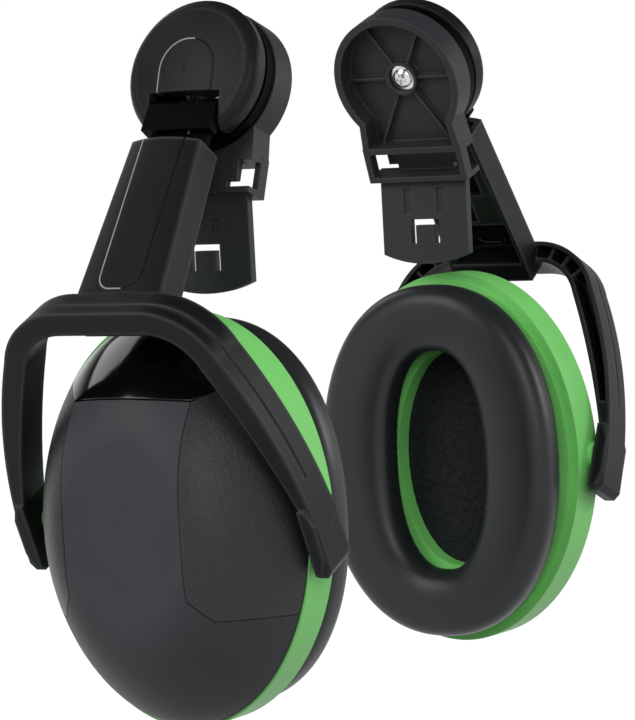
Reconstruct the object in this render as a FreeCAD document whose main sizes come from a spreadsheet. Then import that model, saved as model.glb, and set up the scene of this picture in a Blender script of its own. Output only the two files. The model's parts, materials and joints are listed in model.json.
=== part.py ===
import FreeCAD, Part
import os
import re
import Sketcher
from FreeCAD import Placement, Rotation, Vector

# A pair of helmet-mounted ear muffs, in millimetres. +Z is up, -Y is the wearer's front, and the plane
# x = 0 is the middle of the head. The left muff stands on +X. The right muff is the same set of pieces
# turned half a turn about Z, because one muff fits either side of the helmet.
#
# Each piece is drawn in the frame of the joint that carries it, with X running down the piece, Y to the
# side and Z out from the head:
#   hub frame   on the hub axis, where it meets the tray's rim plane
#   arm frame   on the hinge pin inside the hub cap
#   fork frame  on the elbow where the arm meets the yoke
#   cup frame   in the middle of the seat ring, a little inside the pivot axis

SIZES = {
    # Helmet adapter: tray, window frame and clip blade
    "hub_offset": 45.2,         # middle of the head to the hub point
    "hub_tilt": 20.0,           # hub axis above the horizontal
    "hub_radius": 20.4,
    "tray_depth": 8.2,
    "tray_wall": 2.2,
    "tray_floor": 2.0,
    "neck_top_half": 15.2,      # half width where the neck leaves the round tray
    "neck_half": 16.6,          # half width at the foot of the window frame
    "neck_start": 8.0,
    "tray_drop": 22.2,          # hub axis to the foot of the tray
    "frame_drop": 31.2,         # hub axis to the foot of the window frame
    "frame_bar": 1.9,
    "frame_depth": 3.6,
    "shelf": 1.6,
    "web_half": 12.4,           # half width of the web behind the window
    "web_foot_half": 9.4,
    "web_foot_height": 1.9,
    "rib": 1.0,
    "rib_height": 1.6,
    "boss_radius": 5.1,
    "boss_height": 2.8,
    "blade_offset": 14.4,       # hub point to the middle of the blade, level
    "blade_width": 29.0,
    "blade_thickness": 2.4,
    "blade_drop": 50.8,
    "blade_bulge": 3.0,
    "snap_top": 40.5,
    "snap_width": 9.7,
    "snap_height": 7.2,
    "snap_leg": 1.7,
    "fluting_offset": 5.6,
    "fluting_width": 2.6,
    "fluting_depth": 0.6,
    "dimple_offset": 3.9,
    "dimple_radius": 1.9,
    "dimple_drop": 35.2,
    # Pivot fastening
    "screw_radius": 1.6,
    "screw_clearance": 0.1,
    "screw_head_radius": 2.9,
    "screw_head_height": 2.0,
    "screw_head_side": 0.8,
    "cross_width": 0.9,
    "cross_length": 3.4,
    "cross_depth": 1.1,
    "washer_radius": 4.0,
    "washer_thickness": 0.8,
    "washer_seat": 0.5,         # seat above the tray floor
    "insert_radius": 2.8,
    "insert_length": 6.0,
    "disc_spring_radius": 9.0,
    "disc_spring_thickness": 0.5,
    "disc_spring_rise": 1.1,
    # Index ring
    "ring_radius": 19.9,
    "ring_height": 3.7,
    "ring_wall": 2.0,
    "ring_web": 1.4,
    "ring_bore": 9.8,
    "detent_count": 24,
    "detent_radius": 14.0,
    "detent_size": 0.9,
    # Hub cap
    "cap_gap": 1.2,
    "cap_side": 3.2,
    "cap_height": 6.4,
    "cap_dome": 2.0,
    "cap_face_radius": 16.8,
    "cap_wall": 2.0,
    "spindle_radius": 5.6,
    "thrust_gap": 0.2,
    "notch_half": 11.2,
    "notch_top": 6.6,
    "lug_thickness": 2.6,
    "lug_half": 3.6,
    # Hinge and slide strap
    "hinge_drop": 10.6,         # hub axis to the hinge pin
    "hinge_depth": 16.6,        # rim plane to the hinge pin
    "pin_radius": 1.5,
    "pin_fit": 0.04,
    "knuckle_radius": 2.9,
    "strap_half": 9.0,
    "strap_thickness": 2.4,
    "strap_end_gap": 15.0,      # strap's end to the elbow
    "cover_length": 8.2,        # hinge pin to the end of the strap's cover
    "cover_rise": 0.9,          # cover above the knuckle
    "strap_notch_pitch": 4.0,
    "strap_notch_depth": 0.6,
    "strap_notch_count": 4,
    "spring_half": 4.2,
    "spring_wire": 0.8,
    "spring_turns": 6,
    "spring_radius": 2.25,
    "spring_leg": 9.0,
    # Arm
    "arm_lean": 33.8,           # arm outward from the vertical
    "arm_top": 12.9,            # hinge pin to the arm's upper end
    "arm_foot": 67.0,           # hinge pin to the elbow
    "arm_top_half": 10.9,
    "arm_foot_half": 13.6,
    "arm_crown": 7.6,
    "arm_shoulder": 5.6,
    "arm_lip": 3.6,
    "arm_wall": 1.6,
    "slide_gap": 0.3,
    "elbow_depth": 7.6,
    "guide_width": 1.4,
    "guide_offset": 5.6,
    "lip_width": 2.0,
    "lip_length": 32.0,
    "catch_rise": 27.0,         # elbow to the middle of the height catch
    "catch_half": 2.6,
    "catch_length": 8.0,
    "catch_nose": 1.6,
    "bridge_margin": 1.6,
    "bridge_thickness": 2.0,
    # Yoke
    "fork_lean": 24.5,          # yoke inward from the vertical
    "fork_drop": 64.2,          # elbow to the cup pivots
    "fork_depth": 11.0,
    "fork_bar": 6.5,
    "fork_rise": 3.5,
    "fork_corner_radius": 22.0,
    "fork_corner_side": 13.0,
    "fork_flare": 20.0,
    "leg_drop": 38.0,           # elbow to the middle of the leg's curve
    "leg_bow": 4.4,
    "leg_bar": 5.8,
    "fork_end_wall": 4.6,
    "fork_end_depth": 13.0,
    "fork_end_below": 11.5,
    "fork_end_above": 9.0,
    "fork_wall": 1.4,
    "fork_web": 2.4,
    "fork_rib": 0.9,
    "groove_level": 0.4,        # yoke's middle plane to the groove round its flank
    "groove_width": 0.9,
    "groove_depth": 0.5,
    "channel_foot": 48.0,
    # Cup
    "cup_lean": 0.5,
    "cup_half_tall": 55.5,
    "cup_half_wide": 41.8,
    "cup_depth": 32.0,
    "cup_edge_step": 0.5,
    "shell_wall": 2.4,
    "panel_thickness": 1.0,
    "panel_seam": 0.2,
    "crease_drop": 34.0,
    "panel_half": 18.5,
    "pad_foot": 17.0,
    "pad_corner_drop": 6.0,
    "pad_corner_side": 5.0,
    "pad_sweep": 8.0,
    "crease_bow": 1.2,
    "top_side_drop": 4.0,
    "top_side_step": 8.0,
    "seat_ring_height": 12.0,
    "seat_ring_wall": 4.0,
    "pivot_boss_radius": 4.0,
    "pivot_stand": 1.5,         # boss above the side of the ring
    "pivot_out": 3.2,           # ring's middle plane out to the pivot axis
    "fork_out": 3.0,            # pivot axis out to the yoke's middle plane
    "pivot_radius": 2.0,
    "pivot_fit": 0.05,
    "pivot_gap": 0.3,
    "pivot_depth": 3.6,
    "plate_thickness": 1.2,
    "plate_sleeve": 1.6,
    "plate_sleeve_height": 5.0,
    "cushion_inset": 2.7,        # ring's outside to the cushion's outside
    "cushion_width": 20.3,       # cushion's outside to the plate's opening
    "cushion_height": 15.0,
    "cushion_round": 7.5,
    "cushion_inner_step": 1.0,
    "foam_gap": 0.3,
    "foam_thickness": 14.0,
    "foam_dish": 8.0,
}

doc = FreeCAD.newDocument("ear_muffs")
sheet = doc.addObject("Spreadsheet::Sheet", "sizes")
for row, (word, amount) in enumerate(SIZES.items(), 1):
    sheet.set(f"A{row}", word)
    sheet.set(f"B{row}", str(amount))
    sheet.setAlias(f"B{row}", word)
doc.recompute()


def bound(formula):
    """The formula with each size's name turned into a reference to the spreadsheet."""
    return re.sub(r"[a-z_]+", lambda m: "sizes." + m[0] if m[0] in SIZES else m[0], formula)


def worth(formula):
    """What a formula is worth now, as a plain number."""
    return float(sheet.evalExpression(bound(formula)))


# ---------------------------------------------------------------- frames

def turn_y(degrees):
    return Rotation(Vector(0, 1, 0), degrees)


def hub_frame():
    return Placement(Vector(worth("hub_offset"), 0, 0), turn_y(90 - worth("hub_tilt")))


def arm_frame():
    pin = Placement(Vector(worth("hinge_drop"), 0, worth("hinge_depth")), turn_y(worth("hub_tilt - arm_lean")))
    return hub_frame() * pin


def fork_frame():
    elbow = Placement(Vector(worth("arm_foot"), 0, worth("elbow_depth")), turn_y(worth("arm_lean + fork_lean")))
    return arm_frame() * elbow


def cup_frame():
    pivot = fork_frame().multVec(Vector(worth("fork_drop"), 0, worth("-fork_out")))
    return Placement(pivot, turn_y(90 + worth("cup_lean"))) * Placement(Vector(0, 0, worth("-pivot_out")), Rotation())


# ---------------------------------------------------------------- drawing helpers

def new_body(name):
    return doc.addObject("PartDesign::Body", name)


def sketch(body, name, plane="XY_Plane", lift=None, shift=None, lean=None):
    """A sketch on the body's own origin plane: lifted along the plane's normal, or shifted and leaned."""
    flat = body.newObject("Sketcher::SketchObject", name)
    face = [item for item in body.Origin.OriginFeatures if item.Role == plane][0]
    flat.AttachmentSupport = [(face, "")]
    flat.MapMode = "FlatFace"
    if lift:
        flat.setExpression("AttachmentOffset.Base.z", bound(lift))
    if lean:
        flat.AttachmentOffset = Placement(Vector(), Rotation(Vector(0, 1, 0), 1))
        flat.setExpression("AttachmentOffset.Rotation.Angle", bound(lean))
    if shift:
        flat.setExpression("AttachmentOffset.Base.x", bound(shift[0]))
        flat.setExpression("AttachmentOffset.Base.z", bound(shift[1]))
    return flat


def fix(flat, geometry, end, across, up):
    """Hold one point of a sketch at two formulas, measured from the sketch's origin."""
    for kind, formula in (("DistanceX", across), ("DistanceY", up)):
        index = flat.addConstraint(Sketcher.Constraint(kind, -1, 1, geometry, end, worth(formula)))
        flat.setExpression(f"Constraints[{index}]", bound(formula))


def circle(flat, radius, across="0", up="0"):
    shape = Part.Circle(Vector(worth(across), worth(up), 0), Vector(0, 0, 1), worth(radius))
    index = flat.addGeometry(shape)
    fix(flat, index, 3, across, up)
    held = flat.addConstraint(Sketcher.Constraint("Radius", index, worth(radius)))
    flat.setExpression(f"Constraints[{held}]", bound(radius))


def oval(flat, half_long, half_short):
    """An ellipse about the sketch's origin, its long axis along the sketch's X."""
    index = flat.addGeometry(Part.Ellipse(Vector(), worth(half_long), worth(half_short)))
    flat.exposeInternalGeometry(index)
    flat.addConstraint(Sketcher.Constraint("Coincident", index, 3, -1, 1))
    flat.addConstraint(Sketcher.Constraint("PointOnObject", index + 1, 1, -1))
    for axis, half in ((index + 1, half_long), (index + 2, half_short)):
        held = flat.addConstraint(Sketcher.Constraint("Distance", axis, 2 * worth(half)))
        flat.setExpression(f"Constraints[{held}]", bound(f"2 * ({half})"))


def outline(flat, points):
    """A closed outline through pairs of formulas. A third entry, "via", makes the point an arc's middle."""
    spots = [Vector(worth(point[0]), worth(point[1]), 0) for point in points]
    corners = [index for index, point in enumerate(points) if len(point) == 2]
    ends = []
    for place, start in enumerate(corners):
        stop = corners[(place + 1) % len(corners)]
        if (start + 1) % len(points) == stop:
            edge = flat.addGeometry(Part.LineSegment(spots[start], spots[stop]))
        else:
            middle = start + 1
            edge = flat.addGeometry(Part.Arc(spots[start], spots[middle], spots[stop]))
            mark = flat.addGeometry(Part.Point(spots[middle]), True)
            fix(flat, mark, 1, points[middle][0], points[middle][1])
            flat.addConstraint(Sketcher.Constraint("PointOnObject", mark, 1, edge))
        forward = flat.getPoint(edge, 1).distanceToPoint(spots[start]) < 1e-6
        ends.append((edge, 1 if forward else 2, 2 if forward else 1, points[start]))
    for place, (edge, first, last, corner) in enumerate(ends):
        following = ends[(place + 1) % len(ends)]
        flat.addConstraint(Sketcher.Constraint("Coincident", edge, last, following[0], following[1]))
        fix(flat, edge, first, corner[0], corner[1])


def crown(half, rise, foot, sign="1"):
    """The middle of a spherical crown's half arc, as formulas: half its width and its height there."""
    radius = f"((({half}) ^ 2 + ({rise}) ^ 2) / (2 * ({rise})))"
    return (f"({half}) / 2", f"{foot} + {sign} * ({rise} - {radius} + sqrt({radius} ^ 2 - ({half}) ^ 2 / 4))", "via")


def box(flat, low_x, high_x, low_y, high_y):
    outline(flat, [(low_x, low_y), (high_x, low_y), (high_x, high_y), (low_x, high_y)])


def spoke(flat, centre, angle, inner, outer, width):
    """A thin bar that points away from a centre, its direction measured from the sketch's Y towards -X."""
    def point(reach, side):
        across = f"{centre[0]} - ({reach}) * sin({angle}) + {side} * ({width}) / 2 * cos({angle})"
        up = f"{centre[1]} + ({reach}) * cos({angle}) + {side} * ({width}) / 2 * sin({angle})"
        return (across, up)
    outline(flat, [point(inner, -1), point(outer, -1), point(outer, 1), point(inner, 1)])


def pad(body, flat, length, middle=False, reverse=False):
    feature = body.newObject("PartDesign::Pad", flat.Name + "_pad")
    feature.Profile = flat
    feature.setExpression("Length", bound(length))
    feature.Midplane = middle
    feature.Reversed = reverse
    return feature


def pocket(body, flat, depth=None, middle=False, forward=False):
    """A cut against the sketch's normal, or along it with forward; with no depth it goes through."""
    feature = body.newObject("PartDesign::Pocket", flat.Name + "_cut")
    feature.Profile = flat
    if depth:
        feature.setExpression("Length", bound(depth))
    else:
        feature.Type = "ThroughAll"
    feature.Midplane = middle
    feature.Reversed = forward
    return feature


def spin(body, flat, cut=False):
    """A turned form about the body's Z axis, from a half section on the XZ plane."""
    feature = body.newObject("PartDesign::Groove" if cut else "PartDesign::Revolution", flat.Name + "_turn")
    feature.Profile = flat
    axis = [item for item in body.Origin.OriginFeatures if item.Role == "Z_Axis"][0]
    feature.ReferenceAxis = (axis, [""])
    feature.Angle = 360
    return feature


def repeat(body, feature, count):
    """The feature repeated evenly about the body's Z axis."""
    pattern = body.newObject("PartDesign::PolarPattern", feature.Name + "_pattern")
    axis = [item for item in body.Origin.OriginFeatures if item.Role == "Z_Axis"][0]
    pattern.Originals = [feature]
    pattern.Axis = (axis, [""])
    pattern.Angle = 360
    pattern.setExpression("Occurrences", bound(count))
    body.Tip = pattern
    return pattern


def loft(body, name, sections, cut=False):
    """A form through ovals, each given as lift, half height and half width."""
    flats = []
    for place, (lift, half_long, half_short) in enumerate(sections):
        flat = sketch(body, f"{name}_{place}", lift=lift)
        oval(flat, half_long, half_short)
        flats.append(flat)
    feature = body.newObject("PartDesign::SubtractiveLoft" if cut else "PartDesign::AdditiveLoft", name)
    feature.Profile = flats[0]
    feature.Sections = flats[1:]
    return feature


def round_edges(body, feature, wanted, radius):
    """Fillet the edges of a feature that the test picks out."""
    doc.recompute()
    names = [f"Edge{place}" for place, edge in enumerate(feature.Shape.Edges, 1) if wanted(edge)]
    rounded = body.newObject("PartDesign::Fillet", feature.Name + "_round")
    rounded.Base = (feature, names)
    rounded.setExpression("Radius", bound(radius))
    return rounded


# ---------------------------------------------------------------- helmet adapter

NECK_OUTSIDE = [("neck_start", "-neck_top_half"), ("tray_drop", "-neck_half"),
                ("tray_drop", "neck_half"), ("neck_start", "neck_top_half")]


def adapter():
    """Keyhole tray with a window frame and the clip blade that enters the helmet's side slot."""
    body = new_body("adapter")
    flat = sketch(body, "tray_round")
    circle(flat, "hub_radius")
    pad(body, flat, "tray_depth")
    flat = sketch(body, "tray_neck")
    outline(flat, NECK_OUTSIDE)
    pad(body, flat, "tray_depth")
    flat = sketch(body, "tray_round_inside", lift="tray_depth - tray_floor")
    circle(flat, "hub_radius - tray_wall")
    pocket(body, flat)
    flat = sketch(body, "tray_neck_inside", lift="tray_depth - tray_floor")
    outline(flat, [("neck_start", "tray_wall - neck_top_half"), ("tray_drop - frame_bar", "tray_wall - neck_half"),
                   ("tray_drop - frame_bar", "neck_half - tray_wall"), ("neck_start", "neck_top_half - tray_wall")])
    pocket(body, flat)
    flat = sketch(body, "side_bars")
    for side in ("-1", "1"):
        box(flat, "tray_drop - frame_bar", "frame_drop", f"{side} * neck_half", f"{side} * (neck_half - frame_bar)")
    pad(body, flat, "frame_depth")
    flat = sketch(body, "frame_shelf")
    box(flat, "frame_drop - shelf", "frame_drop", "-neck_half", "neck_half")
    pad(body, flat, "tray_depth")
    flat = sketch(body, "web", lift="tray_depth")
    outline(flat, [("tray_drop - frame_bar", "-web_half"), ("frame_drop - shelf - web_foot_height", "-web_half"),
                   ("frame_drop - shelf - web_foot_height", "-web_foot_half"), ("frame_drop", "-web_foot_half"),
                   ("frame_drop", "web_foot_half"), ("frame_drop - shelf - web_foot_height", "web_foot_half"),
                   ("frame_drop - shelf - web_foot_height", "web_half"), ("tray_drop - frame_bar", "web_half")])
    pad(body, flat, "tray_floor", reverse=True)
    blade_and_snap(body)
    tray_ribs(body)
    flat = sketch(body, "boss", lift="tray_depth - tray_floor")
    circle(flat, "boss_radius")
    pad(body, flat, "boss_height", reverse=True)
    flat = sketch(body, "washer_pocket", lift="tray_depth - tray_floor - washer_seat")
    circle(flat, "washer_radius + 2 * screw_clearance")
    pocket(body, flat)
    flat = sketch(body, "screw_bore", lift="tray_depth")
    circle(flat, "screw_radius + screw_clearance")
    pocket(body, flat)
    return body


def blade_sketch(body, name, level="0"):
    """A sketch on an upright plane, X straight down, at a level out from the hub point."""
    return sketch(body, name, lean="hub_tilt", shift=(f"({level}) * sin(hub_tilt)", f"({level}) * cos(hub_tilt)"))


def blade_and_snap(body):
    """The upright blade with its snap tab, flutes on the head side and dimples on the outside."""
    root = "(frame_drop - shelf / 2 - blade_offset * sin(hub_tilt)) / cos(hub_tilt)"
    flat = blade_sketch(body, "blade", "blade_offset")
    outline(flat, [(root, "-blade_width / 2"), ("blade_drop", "-blade_width / 2"),
                   ("blade_drop + blade_bulge", "0", "via"), ("blade_drop", "blade_width / 2"),
                   (root, "blade_width / 2")])
    pad(body, flat, "blade_thickness", middle=True)
    flat = blade_sketch(body, "snap_slot", "blade_offset")
    outline(flat, [("snap_top", "-snap_width / 2"), ("snap_top + snap_height", "-snap_width / 2"),
                   ("snap_top + snap_height", "snap_leg - snap_width / 2"),
                   ("snap_top + snap_leg", "snap_leg - snap_width / 2"),
                   ("snap_top + snap_leg", "snap_width / 2 - snap_leg"),
                   ("snap_top + snap_height", "snap_width / 2 - snap_leg"),
                   ("snap_top + snap_height", "snap_width / 2"), ("snap_top", "snap_width / 2")])
    pocket(body, flat, "2 * blade_thickness", middle=True)
    flat = blade_sketch(body, "flutes", "blade_offset - blade_thickness / 2 + fluting_depth")
    for side in ("-1", "1"):
        box(flat, "frame_drop", "snap_top - snap_leg", f"{side} * fluting_offset - fluting_width / 2",
            f"{side} * fluting_offset + fluting_width / 2")
    pocket(body, flat, "blade_thickness")
    flat = blade_sketch(body, "dimples", "blade_offset + blade_thickness / 2 - fluting_depth")
    for side in ("-1", "1"):
        circle(flat, "dimple_radius", "dimple_drop", f"{side} * dimple_offset")
    pocket(body, flat, "blade_thickness", forward=True)


def tray_ribs(body):
    """Six thin ribs across the tray floor; the lower two run on into the neck's corners."""
    flat = sketch(body, "rib", lift="tray_depth - tray_floor")
    spoke(flat, ("0", "0"), "0", "boss_radius - rib", "hub_radius - tray_wall / 2", "rib")
    rib = pad(body, flat, "rib_height", reverse=True)
    repeat(body, rib, "6")
    flat = sketch(body, "corner_ribs", lift="tray_depth - tray_floor")
    for angle in ("-60", "-120"):
        spoke(flat, ("0", "0"), angle, "boss_radius - rib", "tray_drop / sin(60)", "rib")
    pad(body, flat, "rib_height", reverse=True)


# ---------------------------------------------------------------- hub

def screw_washer():
    body = new_body("screw_washer")
    flat = sketch(body, "washer", lift="tray_depth - tray_floor - washer_seat")
    circle(flat, "washer_radius")
    circle(flat, "screw_radius + screw_clearance")
    pad(body, flat, "washer_thickness", reverse=True)
    return body


def pivot_screw():
    """Cross-head screw: a domed head in the tray and a shank that runs into the cap's insert."""
    body = new_body("pivot_screw")
    seat = "tray_depth - tray_floor - washer_seat - washer_thickness"
    tip = "tray_depth + thrust_gap + insert_length"
    flat = sketch(body, "screw", "XZ_Plane")
    outline(flat, [("0", f"{seat} - screw_head_height"),
                   crown("screw_head_radius", "(screw_head_height - screw_head_side)",
                         f"{seat} - screw_head_side", "-1"),
                   ("screw_head_radius", f"{seat} - screw_head_side"), ("screw_head_radius", seat),
                   ("screw_radius", seat), ("screw_radius", f"{tip} - screw_radius / 2"),
                   ("screw_radius / 2", tip), ("0", tip)])
    spin(body, flat)
    for name, along, across in (("cross_down", "cross_length", "cross_width"),
                                ("cross_side", "cross_width", "cross_length")):
        flat = sketch(body, name, lift=f"{seat} - screw_head_height + cross_depth")
        box(flat, f"-{along} / 2", f"{along} / 2", f"-{across} / 2", f"{across} / 2")
        pocket(body, flat, "2 * cross_depth")
    return body


def threaded_insert():
    """Brass insert moulded into the cap's spindle, with two knurl grooves."""
    body = new_body("threaded_insert")
    foot = "tray_depth + thrust_gap"
    flat = sketch(body, "insert", "XZ_Plane")
    inside = "screw_radius + pin_fit"
    outline(flat, [(inside, foot), ("insert_radius - 0.4", foot), ("insert_radius", f"{foot} + 0.4"),
                   ("insert_radius", f"{foot} + insert_length / 2 - 0.5"),
                   ("insert_radius - 0.4", f"{foot} + insert_length / 2 - 0.5"),
                   ("insert_radius - 0.4", f"{foot} + insert_length / 2 + 0.5"),
                   ("insert_radius", f"{foot} + insert_length / 2 + 0.5"),
                   ("insert_radius", f"{foot} + insert_length"), (inside, f"{foot} + insert_length")])
    spin(body, flat)
    return body


def index_ring():
    """Ratchet ring fixed to the tray; its teeth give the hub its click positions."""
    body = new_body("index_ring")
    top = "tray_depth + ring_height"
    flat = sketch(body, "ring", "XZ_Plane")
    outline(flat, [("ring_bore", "tray_depth"), ("ring_radius", "tray_depth"), ("ring_radius", top),
                   ("ring_radius - ring_wall", top), ("ring_radius - ring_wall", "tray_depth + ring_web"),
                   ("ring_bore", "tray_depth + ring_web")])
    spin(body, flat)
    flat = sketch(body, "tooth", lift="tray_depth + ring_web")
    spoke(flat, ("0", "0"), "0", "detent_radius", "ring_radius - ring_wall / 2", "detent_size")
    repeat(body, pad(body, flat, "detent_size"), "detent_count")
    return body


def disc_spring():
    """Coned spring washer around the spindle; it presses the cap's hub against the screw."""
    body = new_body("disc_spring")
    foot = "tray_depth"
    flat = sketch(body, "cone", "XZ_Plane")
    inner = "spindle_radius + thrust_gap"
    outline(flat, [(inner, f"{foot} + disc_spring_rise"), ("disc_spring_radius", foot),
                   ("disc_spring_radius", f"{foot} + disc_spring_thickness"),
                   (inner, f"{foot} + disc_spring_rise + disc_spring_thickness")])
    spin(body, flat)
    return body


def hub_cap():
    """Domed cap with a spindle inside and an open notch at its foot for the hinge and strap."""
    body = new_body("hub_cap")
    foot = "tray_depth + ring_height + cap_gap"
    roof = f"{foot} + cap_height - cap_wall"
    flat = sketch(body, "cap", "XZ_Plane")
    outline(flat, [("0", foot), ("hub_radius - 0.4", foot), ("hub_radius", f"{foot} + cap_side"),
                   ("cap_face_radius + (hub_radius - cap_face_radius) * 0.71",
                    f"{foot} + cap_side + (cap_height - cap_side) * 0.71", "via"),
                   ("cap_face_radius", f"{foot} + cap_height"),
                   crown("cap_face_radius", "cap_dome", f"{foot} + cap_height"),
                   ("0", f"{foot} + cap_height + cap_dome")])
    spin(body, flat)
    flat = sketch(body, "cap_inside", "XZ_Plane")
    outline(flat, [("0", f"{foot} - 1"), ("hub_radius - cap_wall", f"{foot} - 1"),
                   ("hub_radius - cap_wall", f"{foot} + cap_side"), ("cap_face_radius - cap_wall / 2", roof),
                   ("0", roof)])
    spin(body, flat, cut=True)
    flat = sketch(body, "spindle", lift="tray_depth + thrust_gap")
    circle(flat, "spindle_radius")
    pad(body, flat, f"{roof} - tray_depth - thrust_gap + cap_wall / 2")
    flat = sketch(body, "spindle_bore", lift="tray_depth + thrust_gap")
    circle(flat, "insert_radius")
    pocket(body, flat, "insert_length + thrust_gap", forward=True)
    flat = sketch(body, "lugs", lift=foot)
    for side in ("-1", "1"):
        box(flat, "hinge_drop - lug_half", "hinge_drop + lug_half", f"{side} * notch_half",
            f"{side} * (notch_half + lug_thickness)")
    pad(body, flat, "cap_height - cap_wall / 2")
    flat = sketch(body, "notch", lift=foot)
    box(flat, "notch_top", "hub_radius + cap_wall", "-notch_half", "notch_half")
    pocket(body, flat, forward=True)
    flat = sketch(body, "pin_bore", "XZ_Plane")
    circle(flat, "pin_radius", "hinge_drop", "hinge_depth")
    pocket(body, flat, "2 * (notch_half + lug_thickness - 0.6)", middle=True)
    return body


def hinge_pin():
    body = new_body("hinge_pin")
    flat = sketch(body, "pin", "XZ_Plane")
    circle(flat, "pin_radius", "hinge_drop", "hinge_depth")
    pad(body, flat, "2 * (notch_half + lug_thickness - 0.6)", middle=True)
    return body


# ---------------------------------------------------------------- strap and press spring

CATCH = "(arm_foot - catch_rise)"


def slide_strap():
    """Flat strap that hinges on the pin and carries the arm; notches on its head side hold the height."""
    body = new_body("slide_strap")
    flat = sketch(body, "knuckle", "XZ_Plane")
    circle(flat, "knuckle_radius")
    pad(body, flat, "2 * (notch_half - pivot_gap)", middle=True)
    flat = sketch(body, "strap", "XZ_Plane")
    box(flat, "0", "arm_foot - strap_end_gap", "-strap_thickness / 2", "strap_thickness / 2")
    pad(body, flat, "2 * strap_half", middle=True)
    flat = sketch(body, "cover_block", "XZ_Plane")
    box(flat, "0", "cover_length", "0", "knuckle_radius + cover_rise")
    pad(body, flat, "2 * (notch_half - pivot_gap)", middle=True)
    flat = sketch(body, "knuckle_bore", "XZ_Plane")
    circle(flat, "pin_radius + pin_fit")
    pocket(body, flat, "4 * strap_half", middle=True)
    flat = sketch(body, "spring_gap", lift="-knuckle_radius - 1")
    box(flat, "-knuckle_radius - 1", "knuckle_radius + 0.6", "-spring_half - 0.4", "spring_half + 0.4")
    pocket(body, flat, "knuckle_radius + 1.3 + spring_radius + spring_wire / 2", forward=True)
    flat = sketch(body, "spring_leg_gap", lift="strap_thickness / 2")
    box(flat, "0", "spring_leg + 1", "-spring_half - 0.4", "spring_half + 0.4")
    pocket(body, flat, "spring_radius + spring_wire / 2 + 0.3 - strap_thickness / 2", forward=True)
    flat = sketch(body, "height_notch", lift="-strap_thickness / 2")
    first = f"({CATCH} - strap_notch_pitch)"
    box(flat, f"{first} - catch_nose / 2 - 0.2", f"{first} + catch_nose / 2 + 0.2", "-catch_half", "catch_half")
    notch = pocket(body, flat, "strap_notch_depth", forward=True)
    row = body.newObject("PartDesign::LinearPattern", "height_notches")
    axis = [item for item in body.Origin.OriginFeatures if item.Role == "X_Axis"][0]
    row.Originals = [notch]
    row.Direction = (axis, [""])
    row.setExpression("Length", bound("strap_notch_pitch * (strap_notch_count - 1)"))
    row.setExpression("Occurrences", bound("strap_notch_count"))
    body.Tip = row
    return body


def press_spring():
    """Torsion spring wound round the hinge pin; one leg lies on the strap and presses the arm inward."""
    radius = worth("spring_radius")
    wire = worth("spring_wire")
    pitch = (2 * worth("spring_half") - wire) / worth("spring_turns")
    height = pitch * worth("spring_turns")
    helix = Part.makeHelix(pitch, height, radius)
    section = Part.Wire(Part.Circle(Vector(radius, 0, 0), Vector(0, 1, 0), wire / 2).toShape())
    coil = Part.Wire(helix.Edges).makePipeShell([section], True, True)
    leg = Part.makeCylinder(wire / 2, worth("spring_leg"), Vector(radius, 0, 0), Vector(0, -1, 0))
    coil.translate(Vector(0, 0, -height / 2))
    leg.translate(Vector(0, 0, -height / 2))
    feature = doc.addObject("Part::Feature", "press_spring")
    feature.Shape = coil.fuse(leg)
    return feature


# ---------------------------------------------------------------- arm and yoke

def arm_section(body, name, reach, half, inset, low):
    """A section of the arm: flat sides, an arched outer face, open or closed towards the head."""
    flat = sketch(body, name, "YZ_Plane", lift=reach)
    outline(flat, [(f"{inset} - {half}", low), (f"{inset} - {half}", f"arm_shoulder - {inset}"),
                   ("0", f"arm_crown - {inset}", "via"), (f"{half} - {inset}", f"arm_shoulder - {inset}"),
                   (f"{half} - {inset}", low)])
    return flat


def arm_loft(body, name, inset, low, start, stop, cut=False):
    ends = [arm_section(body, name + "_top", start, "arm_top_half", inset, low),
            arm_section(body, name + "_foot", stop, "arm_foot_half", inset, low)]
    feature = body.newObject("PartDesign::SubtractiveLoft" if cut else "PartDesign::AdditiveLoft", name)
    feature.Profile = ends[0]
    feature.Sections = ends[1:]
    feature.Ruled = True
    return feature


def fork_sketch(body, name, level="0"):
    """A sketch in the fork's plane, at a level out from it, inside the arm's frame."""
    turn = "arm_lean + fork_lean"
    return sketch(body, name, lean=turn, shift=(f"arm_foot + ({level}) * sin({turn})",
                                                f"elbow_depth + ({level}) * cos({turn})"))


FORK_CENTRE = "(fork_corner_radius - fork_rise)"


def fork_corner(angle, inset):
    """A point on the yoke's rounded corner, as formulas, its angle measured from the side."""
    across = f"{FORK_CENTRE} - (fork_corner_radius - {inset}) * sin({angle})"
    up = f"fork_corner_side + (fork_corner_radius - {inset}) * cos({angle})"
    return across, up


LEG_INSIDE = "(cup_half_wide + pivot_stand + pivot_gap)"
LEG_OUTSIDE = f"({LEG_INSIDE} + fork_end_wall)"
FORK_FOOT = "(fork_drop + fork_end_below)"
PIVOT_ACROSS = "arm_foot + fork_drop * cos(arm_lean + fork_lean) - fork_out * sin(arm_lean + fork_lean)"
PIVOT_DOWN = "elbow_depth - fork_drop * sin(arm_lean + fork_lean) - fork_out * cos(arm_lean + fork_lean)"


def fork_edge(inset, middle_half, foot, foot_half):
    """One half of a yoke outline: from the top bar round the corner and down the leg."""
    return [(f"{inset} - fork_rise", "fork_corner_side"), fork_corner("(fork_flare + 90) / 2", inset) + ("via",),
            fork_corner("fork_flare", inset), ("leg_drop", middle_half, "via"), (foot, foot_half)]


def band(outer, inner):
    """A closed outline that runs round the outside of the yoke and back along its inside."""
    def flipped(points):
        return [(point[0], f"-({point[1]})") + tuple(point[2:]) for point in points]
    return flipped(outer)[::-1] + outer + inner[::-1] + flipped(inner)


def half_at(reach):
    """Half the arm's width at a distance from the hinge pin."""
    return f"(arm_top_half + (arm_foot_half - arm_top_half) * ({reach} - arm_top) / (arm_foot - arm_top))"


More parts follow.
